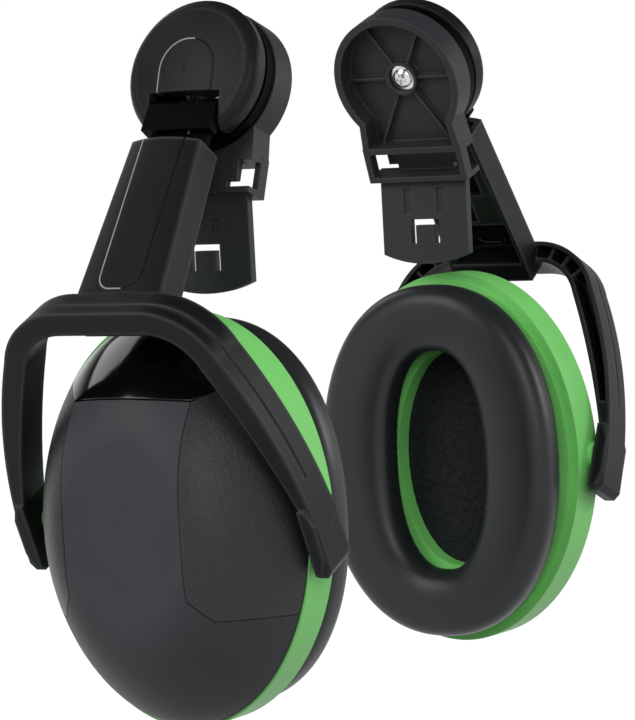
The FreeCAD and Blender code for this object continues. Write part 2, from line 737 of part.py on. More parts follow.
def yoke_arm():
    """Arm and yoke in one moulding: a hollow arm with strap guides, and a ribbed channel-section fork."""
    body = new_body("yoke_arm")
    outer = fork_edge("0", f"{LEG_OUTSIDE} - leg_bow", f"{FORK_FOOT} - 2", LEG_OUTSIDE)
    outer.append((FORK_FOOT, f"{LEG_OUTSIDE} - 1.5"))
    inner = fork_edge("fork_bar", f"{LEG_OUTSIDE} - leg_bow - leg_bar", "fork_drop - fork_end_above", LEG_INSIDE)
    inner.append((FORK_FOOT, LEG_INSIDE))
    flat = fork_sketch(body, "fork")
    outline(flat, band(outer, inner))
    pad(body, flat, "fork_depth", middle=True)
    flat = fork_sketch(body, "flank_groove", "groove_level")
    outer = fork_edge("-1", f"{LEG_OUTSIDE} - leg_bow + 1", "channel_foot", f"{LEG_OUTSIDE} - leg_bow / 2 + 1")
    inner = fork_edge("groove_depth", f"{LEG_OUTSIDE} - leg_bow - groove_depth", "channel_foot",
                      f"{LEG_OUTSIDE} - leg_bow / 2 - groove_depth")
    outline(flat, band(outer, inner))
    pocket(body, flat, "groove_width", forward=True)
    arm_loft(body, "arm", "0", "-arm_lip", "arm_top", "arm_foot")
    arm_loft(body, "arm_inside", "arm_wall", "-arm_lip - 1", "arm_top - 1", "arm_foot - fork_depth / 2 - 1", cut=True)
    flat = fork_sketch(body, "fork_ends")
    for side in ("-1", "1"):
        outline(flat, [("fork_drop - fork_end_above", f"{side} * {LEG_INSIDE}"),
                       ("fork_drop - fork_end_above", f"{side} * ({LEG_OUTSIDE} - fork_end_wall / 2)"),
                       ("fork_drop - fork_end_above / 2", f"{side} * ({LEG_OUTSIDE} - 0.6)"),
                       ("fork_drop + fork_end_below / 2", f"{side} * ({LEG_OUTSIDE} - 0.6)"),
                       (f"{FORK_FOOT} - 1", f"{side} * ({LEG_OUTSIDE} - fork_end_wall / 2)"),
                       (f"{FORK_FOOT} - 1", f"{side} * {LEG_INSIDE}")])
    pad(body, flat, "fork_end_depth", middle=True)
    fork_channel(body)
    arm_guides(body)
    flat = sketch(body, "pivot_bores", "XZ_Plane")
    circle(flat, "pivot_radius + pivot_fit", PIVOT_ACROSS, PIVOT_DOWN)
    pocket(body, flat, f"2 * ({LEG_INSIDE} + pivot_depth)", middle=True)
    return body


def fork_channel(body):
    """The channel on the head side of the yoke, and the small ribs across it at each corner."""
    flat = fork_sketch(body, "channel", "-fork_depth / 2")
    outer = fork_edge("fork_wall", f"{LEG_OUTSIDE} - leg_bow - fork_wall", "channel_foot",
                      f"{LEG_OUTSIDE} - leg_bow / 2 - fork_wall")
    inner = fork_edge("(fork_bar - fork_wall)", f"{LEG_OUTSIDE} - leg_bow - leg_bar + fork_wall", "channel_foot",
                      f"{LEG_OUTSIDE} - leg_bow / 2 - leg_bar + 1.6 * fork_wall")
    outline(flat, band(outer, inner))
    pocket(body, flat, "fork_depth - fork_web", forward=True)
    flat = fork_sketch(body, "channel_ribs", "fork_depth / 2 - fork_web / 2")
    for angle in ("40", "58", "76", "94"):
        for centre, turn in (((FORK_CENTRE, "fork_corner_side"), angle),
                             ((FORK_CENTRE, "-fork_corner_side"), f"(180 - {angle})")):
            spoke(flat, centre, turn, "fork_corner_radius - fork_bar + fork_wall / 2",
                  "fork_corner_radius - fork_wall / 2", "fork_rib")
    pad(body, flat, "fork_depth - fork_web", reverse=True)


def arm_guides(body):
    """Inside the arm: two rails over the strap, two lips under it and the bridge that holds the catch."""
    flat = sketch(body, "rails", lift="strap_thickness / 2 + slide_gap")
    for side in ("-1", "1"):
        box(flat, "arm_top + 1", "arm_foot - fork_depth", f"{side} * guide_offset",
            f"{side} * (guide_offset + guide_width)")
    pad(body, flat, "arm_crown - arm_wall - strap_thickness / 2 - slide_gap")
    flat = sketch(body, "lips", lift="-strap_thickness / 2 - slide_gap")
    start = "(arm_top + 1)"
    stop = "(arm_top + lip_length)"
    for side in ("-1", "1"):
        near = f"{side} * (strap_half - lip_width)"
        outline(flat, [(start, near), (stop, near), (stop, f"{side} * ({half_at(stop)} - arm_wall / 2)"),
                       (start, f"{side} * ({half_at(start)} - arm_wall / 2)")])
    pad(body, flat, "arm_wall", reverse=True)
    flat = sketch(body, "bridge", lift="-strap_thickness / 2 - slide_gap")
    start = f"({CATCH} - catch_length / 2 - bridge_margin)"
    stop = f"({CATCH} + catch_length / 2 + bridge_margin)"
    outline(flat, [(start, f"arm_wall / 2 - {half_at(start)}"), (stop, f"arm_wall / 2 - {half_at(stop)}"),
                   (stop, f"{half_at(stop)} - arm_wall / 2"), (start, f"{half_at(start)} - arm_wall / 2")])
    pad(body, flat, "bridge_thickness", reverse=True)
    flat = sketch(body, "catch_window", lift="-strap_thickness / 2 - slide_gap")
    box(flat, f"{CATCH} - catch_length / 2", f"{CATCH} + catch_length / 2", "-catch_half", "catch_half")
    pocket(body, flat, "2 * bridge_thickness")


def height_catch():
    """Spring catch set in the arm's bridge; its nose drops into the strap's notches."""
    body = new_body("height_catch")
    flat = sketch(body, "catch", lift="-strap_thickness / 2 - slide_gap")
    box(flat, f"{CATCH} - catch_length / 2", f"{CATCH} + catch_length / 2", "0.1 - catch_half", "catch_half - 0.1")
    pad(body, flat, "bridge_thickness", reverse=True)
    flat = sketch(body, "nose", lift="-strap_thickness / 2 - slide_gap - 0.5")
    box(flat, f"{CATCH} - catch_nose / 2", f"{CATCH} + catch_nose / 2", "0.1 - catch_half", "catch_half - 0.1")
    pad(body, flat, "slide_gap + 0.5 + strap_notch_depth / 2")
    return body


# ---------------------------------------------------------------- cup

RIM = "seat_ring_height / 2"
CUSHION = ("(cup_half_tall - cushion_inset)", "(cup_half_wide - cushion_inset)")
OPENING = ("(cup_half_tall - cushion_inset - cushion_width)", "(cup_half_wide - cushion_inset - cushion_width)")
# The dome from its rim to its front: share of the depth, and the shares of the rim's half height and half
# width that are left there, as drawn on a rim 110 mm tall and 82.6 mm wide.
DOME = (("0", "1", "1"), ("0.3", "50.9 / 55", "37.5 / 41.3"), ("0.62", "43.5 / 55", "31.8 / 41.3"),
        ("0.87", "35 / 55", "25.8 / 41.3"), ("1", "24 / 55", "19.3 / 41.3"))


def dome(body, name, inset, cut=False, below="0"):
    """The cup's outer form, or the same form moved in by an inset."""
    sections = []
    for share, tall, wide in DOME:
        lift = f"{RIM} - ({below}) * (1 - {share}) + (cup_depth - {RIM} - ({inset})) * {share}"
        sections.append((lift, f"(cup_half_tall - cup_edge_step) * {tall} - ({inset})",
                         f"(cup_half_wide - cup_edge_step) * {wide} - ({inset})"))
    return loft(body, name, sections, cut)


def front_outline(flat, seam):
    """The satin front: below the crease, between the side pads, and the whole foot of the cup."""
    side = f"panel_half - {seam}"
    foot = f"pad_foot + {seam}"
    corner = f"{foot} + pad_corner_drop"
    sweep = f"{foot} + pad_sweep"
    outline(flat, [(f"{seam} - crease_drop", f"-({side})"), (foot, f"-({side})"),
                   (corner, f"-({side}) - pad_corner_side"), (sweep, "-2 * cup_half_wide"),
                   ("2 * cup_half_tall", "-2 * cup_half_wide"), ("2 * cup_half_tall", "2 * cup_half_wide"),
                   (sweep, "2 * cup_half_wide"), (corner, f"{side} + pad_corner_side"), (foot, side),
                   (f"{seam} - crease_drop", side), (f"{seam} - crease_drop - crease_bow", "0", "via")])


def top_outline(flat, seam):
    """The gloss top: above the crease, between two lines that rise to the rim."""
    side = f"panel_half - {seam}"
    outline(flat, [(f"-crease_drop - {seam}", f"-({side})"), (f"-crease_drop - {seam} - crease_bow", "0", "via"),
                   (f"-crease_drop - {seam}", side), ("-crease_drop - top_side_drop", f"{side} + top_side_step"),
                   ("-2 * cup_half_tall", f"{side} + top_side_step"),
                   ("-2 * cup_half_tall", f"-({side}) - top_side_step"),
                   ("-crease_drop - top_side_drop", f"-({side}) - top_side_step")])


def cup_shell():
    """Deep oval shell, with recesses in its dome for the two panels."""
    body = new_body("cup_shell")
    dome(body, "outside", "0")
    for name, shape in (("front_recess", front_outline), ("top_recess", top_outline)):
        flat = sketch(body, name, lift=RIM)
        shape(flat, "0")
        pocket(body, flat, forward=True)
    dome(body, "core", "panel_thickness")
    dome(body, "cavity", "shell_wall", cut=True, below="1")
    return body


def panel(name, shape):
    """A thin inlay that follows the dome, cut to an outline with a seam all round."""
    body = new_body(name)
    dome(body, "outside", "0")
    dome(body, "back", "panel_thickness", cut=True)
    flat = sketch(body, "outside_of_panel", lift=RIM)
    box(flat, "-3 * cup_half_tall", "3 * cup_half_tall", "-3 * cup_half_wide", "3 * cup_half_wide")
    shape(flat, "panel_seam")
    pocket(body, flat, forward=True)
    return body


def front_panel():
    return panel("front_panel", front_outline)


def top_panel():
    return panel("top_panel", top_outline)


def seat_ring():
    """Bright band round the cup: it joins shell and cushion and carries the pivot bosses."""
    body = new_body("seat_ring")
    flat = sketch(body, "ring", lift=f"-{RIM}")
    oval(flat, "cup_half_tall", "cup_half_wide")
    pad(body, flat, "seat_ring_height")
    for name, side, away in (("front_boss", "1", False), ("rear_boss", "-1", True)):
        flat = sketch(body, name, "XZ_Plane", lift=f"{side} * (cup_half_wide - cup_edge_step + 0.1)")
        circle(flat, "pivot_boss_radius", "0", "pivot_out")
        pad(body, flat, "cup_edge_step - 0.1 + pivot_stand", reverse=away)
    flat = sketch(body, "ring_inside", lift=f"{RIM}")
    oval(flat, "cup_half_tall - seat_ring_wall", "cup_half_wide - seat_ring_wall")
    pocket(body, flat)
    flat = sketch(body, "stud_bore", "XZ_Plane")
    circle(flat, "pivot_radius", "0", "pivot_out")
    pocket(body, flat, middle=True)
    return body


def pivot_studs():
    """Two studs pressed into the ring's bosses; the yoke's ends turn on them."""
    body = new_body("pivot_studs")
    body.AllowCompound = True
    for name, side, away in (("front_stud", "1", False), ("rear_stud", "-1", True)):
        flat = sketch(body, name, "XZ_Plane", lift=f"{side} * (cup_half_wide - seat_ring_wall + 1)")
        circle(flat, "pivot_radius", "0", "pivot_out")
        pad(body, flat, "seat_ring_wall - 1 + pivot_stand + pivot_gap + pivot_depth - 0.2", reverse=away)
    return body


def cushion_plate():
    """Stiff back of the cushion: a flat ring on the seat ring, with a sleeve round the ear opening."""
    body = new_body("cushion_plate")
    face = f"-{RIM}"
    flat = sketch(body, "plate", lift=face)
    oval(flat, *CUSHION)
    pad(body, flat, "plate_thickness", reverse=True)
    flat = sketch(body, "sleeve", lift=f"{face} - plate_thickness")
    oval(flat, f"{OPENING[0]} + plate_sleeve", f"{OPENING[1]} + plate_sleeve")
    pad(body, flat, "plate_thickness + plate_sleeve_height")
    flat = sketch(body, "opening", lift=f"{face} - plate_thickness")
    oval(flat, *OPENING)
    pocket(body, flat, forward=True)
    return body


def ear_cushion():
    """Soft cushion: a thick oval ring with well rounded edges towards the head."""
    body = new_body("ear_cushion")
    flat = sketch(body, "cushion", lift=f"-{RIM} - plate_thickness")
    oval(flat, *CUSHION)
    oval(flat, f"{OPENING[0]} + cushion_inner_step", f"{OPENING[1]} - cushion_inner_step")
    ring = pad(body, flat, "cushion_height", reverse=True)
    face = worth(f"-{RIM} - plate_thickness - cushion_height")
    round_edges(body, ring, lambda edge: abs(edge.BoundBox.ZMax - face) < 0.01, "cushion_round")
    return body


def foam_insert():
    """Damping foam that fills the ring behind the plate, dished in front of the ear."""
    body = new_body("foam_insert")
    flat = sketch(body, "foam", lift=f"-{RIM}")
    oval(flat, "cup_half_tall - seat_ring_wall - foam_gap", "cup_half_wide - seat_ring_wall - foam_gap")
    pad(body, flat, "foam_thickness")
    flat = sketch(body, "sleeve_seat", lift=f"-{RIM}")
    oval(flat, f"{OPENING[0]} + plate_sleeve + foam_gap", f"{OPENING[1]} + plate_sleeve + foam_gap")
    pocket(body, flat, "plate_sleeve_height + foam_gap", forward=True)
    flat = sketch(body, "dish", lift=f"-{RIM}")
    oval(flat, f"{OPENING[0]} - 2", f"{OPENING[1]} - 2")
    pocket(body, flat, "foam_dish", forward=True)
    return body


# ---------------------------------------------------------------- assembly

def check(item):
    """Stop if an object of the document failed."""
    if {"Invalid", "Error"} & set(item.State):
        raise RuntimeError(f"{item.Name} failed: {item.State}")


def build():
    """Draw each piece once, set it in its frame on the left, and turn a copy of its shape round to the right."""
    hub = hub_frame()
    arm = arm_frame()
    cup = cup_frame()
    spring = arm * Placement(Vector(), Rotation(Vector(1, 0, 0), 90) * Rotation(Vector(0, 0, 1), 90))
    pieces = [(adapter, hub), (index_ring, hub), (screw_washer, hub), (pivot_screw, hub), (threaded_insert, hub),
              (disc_spring, hub), (hub_cap, hub), (hinge_pin, hub), (press_spring, spring), (slide_strap, arm),
              (yoke_arm, arm), (height_catch, arm), (seat_ring, cup), (pivot_studs, cup), (cup_shell, cup),
              (front_panel, cup), (top_panel, cup), (cushion_plate, cup), (ear_cushion, cup), (foam_insert, cup)]
    half_turn = Placement(Vector(), Rotation(Vector(0, 0, 1), 180))
    parts = []
    for make, place in pieces:
        left = make()
        left.Label = "left_" + make.__name__
        left.Placement = place
        right = doc.addObject("Part::Feature", "right_" + make.__name__)
        doc.recompute()
        right.Shape = left.Shape
        right.Label = "right_" + make.__name__
        right.Placement = half_turn * place
        parts += [left, right]
    doc.recompute()
    return parts


def main():
    parts = build()
    for item in doc.Objects:
        check(item)
    os.makedirs("parts", exist_ok=True)
    for part in parts:
        if part.Shape.isNull() or not part.Shape.isValid():
            raise RuntimeError(f"{part.Label} has no valid shape")
        part.Shape.exportStep(os.path.join("parts", part.Label + ".step"))
        print(part.Label, len(part.Shape.Solids), round(part.Shape.Volume, 1))


main()
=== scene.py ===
# %% [markdown]
# # A pair of helmet-mounted ear muffs
# Each muff is a moulded black adapter, a swivel hub, a sliding arm with a C-shaped yoke, and an oval cup
# with a bright ring and a soft cushion. The hard pieces come in as finished solids, so this lesson is about
# what they are made of, and about the soft pieces, which are worked out here as surfaces.

# %% Load the hard pieces
import json
import math

import bmesh
import bpy
import numpy as np
from mathutils import Matrix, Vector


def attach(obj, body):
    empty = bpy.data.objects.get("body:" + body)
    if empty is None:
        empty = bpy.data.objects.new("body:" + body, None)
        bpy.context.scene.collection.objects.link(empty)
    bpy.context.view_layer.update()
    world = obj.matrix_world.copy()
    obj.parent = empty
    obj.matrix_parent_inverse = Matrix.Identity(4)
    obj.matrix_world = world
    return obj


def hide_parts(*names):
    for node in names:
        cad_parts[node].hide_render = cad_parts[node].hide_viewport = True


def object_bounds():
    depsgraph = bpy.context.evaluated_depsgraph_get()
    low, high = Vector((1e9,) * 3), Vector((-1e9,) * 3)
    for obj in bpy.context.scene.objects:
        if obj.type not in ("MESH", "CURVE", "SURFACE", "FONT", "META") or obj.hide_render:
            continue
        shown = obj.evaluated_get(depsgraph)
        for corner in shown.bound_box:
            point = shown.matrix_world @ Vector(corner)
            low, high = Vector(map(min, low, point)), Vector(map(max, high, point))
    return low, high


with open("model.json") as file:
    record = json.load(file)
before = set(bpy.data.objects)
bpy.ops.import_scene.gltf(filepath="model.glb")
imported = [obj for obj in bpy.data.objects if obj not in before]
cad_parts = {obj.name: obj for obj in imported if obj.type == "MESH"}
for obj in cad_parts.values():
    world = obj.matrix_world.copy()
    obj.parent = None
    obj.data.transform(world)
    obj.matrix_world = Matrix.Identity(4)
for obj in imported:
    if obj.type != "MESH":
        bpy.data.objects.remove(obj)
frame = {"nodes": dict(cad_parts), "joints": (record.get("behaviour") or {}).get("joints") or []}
JOINT = {joint["name"]: joint for joint in frame["joints"]}
SOLID_BOX = [list(corner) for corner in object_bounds()]
LOW, HIGH = np.array(SOLID_BOX)
CENTRE = (LOW + HIGH) / 2

# %% [markdown]
# Colours are written as they are seen on a screen, in hex. A renderer adds up light, so it wants them on a
# linear scale, and one small function turns one into the other. A second small function puts a node in a
# tree, sets its values and links its inputs, which keeps each material short enough to read.

# %% Colour and node helpers


def linear(hex_code, alpha=1.0):
    """sRGB hex to linear: v / 12.92 below 0.04045, else ((v + 0.055) / 1.055) ** 2.4."""
    v = np.array([int(hex_code[i:i + 2], 16) for i in (1, 3, 5)]) / 255
    low = v / 12.92
    high = ((v + 0.055) / 1.055) ** 2.4
    return tuple(np.where(v <= 0.04045, low, high)) + (alpha,)


def add(tree, kind, links=None, **settings):
    """A node of a kind. A setting is an input's value where the name is one, and else a property of the node.
    A link is another node's output, or a plain value for that input."""
    node = tree.nodes.new(kind)
    for name, value in settings.items():
        words = name.replace("_", " ")
        match = [s for s in node.inputs if s.name.lower() == words.lower()]
        if match:
            match[0].default_value = value
        else:
            setattr(node, name, value)
    for socket, source in (links or {}).items():
        if isinstance(source, bpy.types.NodeSocket):
            tree.links.new(source, node.inputs[socket])
        else:
            node.inputs[socket].default_value = source
    return node


print("mid grey #808080 is", round(linear("#808080")[0], 3), "on the linear scale")

# %% [markdown]
# The camera stands in front of the wearer's right shoulder, a metre away, with a long lens. It is level
# within a few degrees and turned a little about its own line of sight, as a hand-held view is.

# %% Camera
EYE = np.array([-0.87581, -0.53859, -0.00060])
HEADING = math.radians(-58.23)
PITCH = math.radians(-4.25)
ROLL = math.radians(-3.00)
LENS, SENSOR = 181.5, 36.0      # millimetres


def look(heading, pitch, roll):
    """Rotation whose -Z axis looks along the heading and pitch, turned by the roll about that line."""
    level = math.cos(pitch)
    ahead = np.array([-math.sin(heading) * level, math.cos(heading) * level, math.sin(pitch)])
    side = np.array([math.cos(heading), math.sin(heading), 0.0])
    above = np.cross(side, ahead)
    right = side * math.cos(roll) + above * math.sin(roll)
    top = above * math.cos(roll) - side * math.sin(roll)
    return np.column_stack([right, top, -ahead])


def placed(rotation, where):
    """A 4 by 4 matrix from a rotation and a place."""
    matrix = np.eye(4)
    matrix[:3, :3] = rotation
    matrix[:3, 3] = where
    return Matrix(matrix.tolist())


camera = bpy.data.objects.new("camera", bpy.data.cameras.new("camera"))
bpy.context.scene.collection.objects.link(camera)
camera.matrix_world = placed(look(HEADING, PITCH, ROLL), EYE)
camera.data.lens = LENS
camera.data.sensor_width = SENSOR
camera.data.clip_start = 0.05
camera.data.clip_end = 20.0
bpy.context.scene.camera = camera
bpy.context.scene.view_settings.view_transform = "Standard"
print("camera", np.round(EYE, 3).tolist(), "lens", LENS)

# %% [markdown]
# The studio is white all round, but a black piece must not be washed out by it. So what is seen, straight or
# mirrored in a gloss, is kept apart from what gives light: one mix with this switch does both jobs.

# %% Switch between seen and giving light


def is_seen(tree):
    """1 on a ray from the camera, a mirrored ray or one through glass, and 0 on a ray that only lights."""
    path = add(tree, "ShaderNodeLightPath")
    mirrored = add(tree, "ShaderNodeMath",
                   {0: path.outputs["Is Camera Ray"], 1: path.outputs["Is Glossy Ray"]}, operation="MAXIMUM")
    seen = add(tree, "ShaderNodeMath", {0: mirrored.outputs[0], 1: path.outputs["Is Transmission Ray"]},
               operation="MAXIMUM")
    return seen.outputs[0]


def empty_tree(owner):
    """The owner's node tree with nothing in it."""
    owner.use_nodes = True
    owner.node_tree.nodes.clear()
    return owner.node_tree


print("a backdrop shows on camera, glossy and transmission rays")

# %% [markdown]
# The world is white near the horizon and dim overhead, so a glossy black piece that faces upward stays black
# and one that faces the horizon picks up a pale sheen. The light that it gives is brighter from above than
# from below, because a real floor gives back only part of what falls on it.

# %% World
WHITE_UP_TO, DIM_FROM = 0.16, 0.34          # sine of the height above the horizon
DIM_SKY = "#303030"
SKY_LOW, SKY_HIGH = -0.6, 0.8               # sines between which the given light rises
LIGHT_BELOW, LIGHT_ABOVE = 0.22, 0.80       # its strength at those two
world = bpy.data.worlds.new("studio")
bpy.context.scene.world = world
tree = empty_tree(world)
direction = add(tree, "ShaderNodeTexCoord")
split = add(tree, "ShaderNodeSeparateXYZ", {"Vector": direction.outputs["Generated"]})
ramp = add(tree, "ShaderNodeValToRGB", {"Fac": split.outputs["Z"]})
for stop, position, colour in zip(ramp.color_ramp.elements, (WHITE_UP_TO, DIM_FROM), ("#ffffff", DIM_SKY)):
    stop.position = position
    stop.color = linear(colour)
rise = add(tree, "ShaderNodeMapRange", {"Value": split.outputs["Z"]}, From_Min=SKY_LOW, From_Max=SKY_HIGH,
           To_Min=LIGHT_BELOW, To_Max=LIGHT_ABOVE)
shown = add(tree, "ShaderNodeBackground", {"Color": ramp.outputs["Color"]}, Strength=1.0)
giving = add(tree, "ShaderNodeBackground", {"Strength": rise.outputs[0]}, Color=linear("#ffffff"))
both = add(tree, "ShaderNodeMixShader", {0: is_seen(tree), 1: giving.outputs[0], 2: shown.outputs[0]})
add(tree, "ShaderNodeOutputWorld", {"Surface": both.outputs[0]})
print("world", world.name)

# %% [markdown]
# Every new surface here is a grid: an array of points, in rows, with a quad between each four neighbours. A
# closed grid joins its last row or column to its first. Where a whole row sits on one point, as at a pole,
# its points are merged, and the faces of a closed surface are then turned to point outwards.

# %% Grid mesh
MERGE_WITHIN = 1e-7


def close_up(mesh):
    """Merges points that coincide and turns all faces outwards."""
    shape = bmesh.new()
    shape.from_mesh(mesh)
    bmesh.ops.remove_doubles(shape, verts=shape.verts, dist=MERGE_WITHIN)
    bmesh.ops.recalc_face_normals(shape, faces=shape.faces)
    shape.to_mesh(mesh)
    shape.free()


def grid_mesh(name, points, close_across=False, close_along=False):
    """A mesh of quads over an array of points, with its rows along and its columns across."""
    along, across = points.shape[:2]
    i = np.arange(along if close_along else along - 1)
    j = np.arange(across if close_across else across - 1)
    a, b = np.meshgrid(i, j, indexing="ij")
    a, b = a.ravel(), b.ravel()
    a1, b1 = (a + 1) % along, (b + 1) % across
    faces = np.stack([a * across + b, a * across + b1, a1 * across + b1, a1 * across + b], 1)
    mesh = bpy.data.meshes.new(name)
    mesh.from_pydata(points.reshape(-1, 3).tolist(), [], faces.tolist())
    if close_across:
        close_up(mesh)
    mesh.shade_smooth()
    thing = bpy.data.objects.new(name, mesh)
    bpy.context.scene.collection.objects.link(thing)
    return thing


print("grids merge points within", MERGE_WITHIN, "m")

# %% [markdown]
# The floor lies well below, since the muffs hang from a helmet. It shows nearly white by its own glow, with a
# little of its paint mixed in so that a soft shadow still falls on it. To the other pieces it is a mid grey.

# %% Floor
FLOOR_DROP = 0.14
FLOOR_REACH = 6.0
FLOOR_GLOW, GLOW_SHARE = 1.05, 0.92
steps = np.linspace(-FLOOR_REACH, FLOOR_REACH, 9)
s, t = np.meshgrid(steps, steps)
floor = grid_mesh("floor", np.stack([s, t, np.full_like(s, LOW[2] - FLOOR_DROP)], -1))
paint = bpy.data.materials.new("painted_floor")
tree = empty_tree(paint)
matt = add(tree, "ShaderNodeBsdfDiffuse", Color=linear("#f6f6f6"))
shaded = add(tree, "ShaderNodeBsdfDiffuse", Color=linear("#6c6c6c"))
lit = add(tree, "ShaderNodeEmission", Color=linear("#ffffff"), Strength=FLOOR_GLOW)
part_lit = add(tree, "ShaderNodeMixShader", {1: matt.outputs[0], 2: lit.outputs[0]}, Fac=GLOW_SHARE)
both = add(tree, "ShaderNodeMixShader", {0: is_seen(tree), 1: shaded.outputs[0], 2: part_lit.outputs[0]})
add(tree, "ShaderNodeOutputMaterial", {"Surface": both.outputs[0]})
floor.data.materials.append(paint)
print("floor at", round(LOW[2] - FLOOR_DROP, 3))

# %% [markdown]
# Four large square lamps stand round the muffs and face their middle. The ones at the wearer's right are the
# strongest, since that is the side the camera sees, and the one at the front left draws a soft line down the
# cushion's outer side.

# %% Lamps
LAMPS = {   # where it stands in metres, its width in metres, its power in watts
    "key_lamp": ((-1.25, 0.55, 0.75), 0.8, 11),
    "front_lamp": ((-1.2, -1.1, 0.6), 0.9, 9),
    "fill_lamp": ((0.9, -1.3, 0.4), 0.6, 8),
    "back_lamp": ((0.35, 1.35, 0.95), 0.8, 4),
}


def soft_lamp(name, where, width, watts):
    """A square area lamp that faces the middle of the object: its Z axis points away from there."""
    lamp = bpy.data.objects.new(name, bpy.data.lights.new(name, "AREA"))
    bpy.context.scene.collection.objects.link(lamp)
    lamp.data.size = width
    lamp.data.energy = watts
    back = np.array(where) - CENTRE
    back = back / np.linalg.norm(back)
    side = np.cross([0, 0, 1.0], back)
    side = side / np.linalg.norm(side)
    lamp.matrix_world = placed(np.column_stack([side, np.cross(back, side), back]), where)


for name, (where, width, watts) in LAMPS.items():
    soft_lamp(name, where, width, watts)
print("lamps", len(LAMPS))

# %% [markdown]
# ## Finishes
# Moulded black plastic is never one flat black. The tool that formed it was spark-eroded, which leaves a
# fine pitted grain, and the plastic's own shade drifts a little from place to place. Both come from noise:
# cells for the grain, and broad clouds. The true grain, of about 0.1 mm, would not show at this distance, so
# it is drawn about half a millimetre wide.

# %% Grain
NOISE = {"From_Min": 0.3, "From_Max": 0.7}     # where nearly all of a noise's values lie
CLOUDS_PER_METRE = 45.0
CLOUD_SHADE = 0.07          # the shade drifts by this share each way
CLOUD_GLOSS = 0.06          # and the roughness by this one


def grain(tree, point, grain_mm, fleck, colour):
    """The fine noise, the broad noise, and the base colour times (1 + cloud + fleck)."""
    fine = add(tree, "ShaderNodeTexNoise", {"Vector": point}, Scale=1000 / grain_mm, Detail=2.0,
               Roughness=0.55)
    broad = add(tree, "ShaderNodeTexNoise", {"Vector": point}, Scale=CLOUDS_PER_METRE, Detail=3.0,
                Roughness=0.5)
    flecks = add(tree, "ShaderNodeMapRange", {"Value": fine.outputs["Fac"]}, To_Min=-fleck, To_Max=fleck,
                 **NOISE)
    clouds = add(tree, "ShaderNodeMapRange", {"Value": broad.outputs["Fac"]}, To_Min=1 - CLOUD_SHADE,
                 To_Max=1 + CLOUD_SHADE, **NOISE)
    shade = add(tree, "ShaderNodeMath", {0: flecks.outputs[0], 1: clouds.outputs[0]}, operation="ADD")
    base = add(tree, "ShaderNodeVectorMath", {0: linear(colour)[:3], "Scale": shade.outputs[0]},
               operation="SCALE")
    return fine.outputs["Fac"], broad.outputs["Fac"], base.outputs[0]


print("clouds are", round(1000 / CLOUDS_PER_METRE), "mm wide")

# %% [markdown]
# Edges of the arm, the adapter and the hub cap are painted a little paler: a painted highlight along each
# edge.
# A Bevel node gives the normal that a rounded edge would have, and where that leaves the flat one, there is
# an edge.

# %% Painted edge highlights
EDGE_HIGHLIGHT_WIDTH = 2.2                    # times the edge's own radius
NO_EDGE_HIGHLIGHT, FULL_EDGE_HIGHLIGHT = 0.98, 0.80     # cosine of the angle between the two normals
# the pale colour of the painted edge highlight
EDGE_HIGHLIGHT_COLOUR = "#8a8c8e"


def painted_edge_highlight(tree, base, edge_mm, edge_light):
    """The base colour, mixed towards a paler one by up to edge_light at each edge: a painted highlight."""
    rounded = add(tree, "ShaderNodeBevel", samples=4, Radius=edge_mm / 1000 * EDGE_HIGHLIGHT_WIDTH)
    flat = add(tree, "ShaderNodeNewGeometry")
    turned = add(tree, "ShaderNodeVectorMath", {0: rounded.outputs[0], 1: flat.outputs["Normal"]},
                 operation="DOT_PRODUCT")
    rim = add(tree, "ShaderNodeMapRange", {"Value": turned.outputs["Value"]}, From_Min=NO_EDGE_HIGHLIGHT,
              From_Max=FULL_EDGE_HIGHLIGHT, To_Min=0.0, To_Max=edge_light)
    highlighted = add(tree, "ShaderNodeMix", {"Factor": rim.outputs[0], 6: base, 7: linear(EDGE_HIGHLIGHT_COLOUR)},
               data_type="RGBA")
    return highlighted.outputs[2]


# how far off the flat the painted edge highlight starts
print("wear starts", round(math.degrees(math.acos(NO_EDGE_HIGHLIGHT))), "degrees off the flat")

# %% [markdown]
# The arm's face and the hub cap each carry a fine engraved line, about half a millimetre wide, which is drawn
# here by colour and bump alone. One wall of it is painted nearly black as painted shade, and the other is
# painted pale as a painted highlight.

# %% Engraved line
GROOVE_FLOOR, GROOVE_EDGE = 0.00016, 0.00034       # metres from the line's middle
GROOVE_DEPTH = 0.0003
# painted shade for the groove's shaded wall, and a painted highlight for its lit wall
PAINTED_SHADE_WALL, PAINTED_HIGHLIGHT_WALL = "#040404", "#85888a"


def engrave(tree, point, line, base, normal):
    """Colour and normal with a groove: 0 at its floor, 1 at its edge, and a smooth step between.
    One wall is painted shade and the other a painted highlight.
    """
    away, rear = line(tree, point)
    groove = add(tree, "ShaderNodeMapRange", {"Value": away}, From_Min=GROOVE_FLOOR, From_Max=GROOVE_EDGE,
                 interpolation_type="SMOOTHSTEP")
    # each wall's colour is painted: nearly black as painted shade, pale as a painted highlight
    shaded = add(tree, "ShaderNodeMix", {"Factor": groove.outputs[0], 6: linear(PAINTED_SHADE_WALL), 7: base},
                 data_type="RGBA")
    painted_highlight = add(tree, "ShaderNodeMix", {"Factor": groove.outputs[0], 6: linear(PAINTED_HIGHLIGHT_WALL), 7: base},
                 data_type="RGBA")
    painted_walls = add(tree, "ShaderNodeMix", {"Factor": rear, 6: shaded.outputs[2], 7: painted_highlight.outputs[2]},
                data_type="RGBA")
    cut = add(tree, "ShaderNodeBump", {"Height": groove.outputs[0], "Normal": normal}, Strength=1.0,
              Distance=GROOVE_DEPTH)
    return painted_walls.outputs[2], cut.outputs[0]


print("groove", 2000 * GROOVE_EDGE, "mm wide")

# %% [markdown]
# A finish puts these together in one Principled shader. Its bump is the fine noise, on the normal of a
# rounded edge, because every moulding has its edges rounded. A soft skin has broad waves besides.

# %% Finish


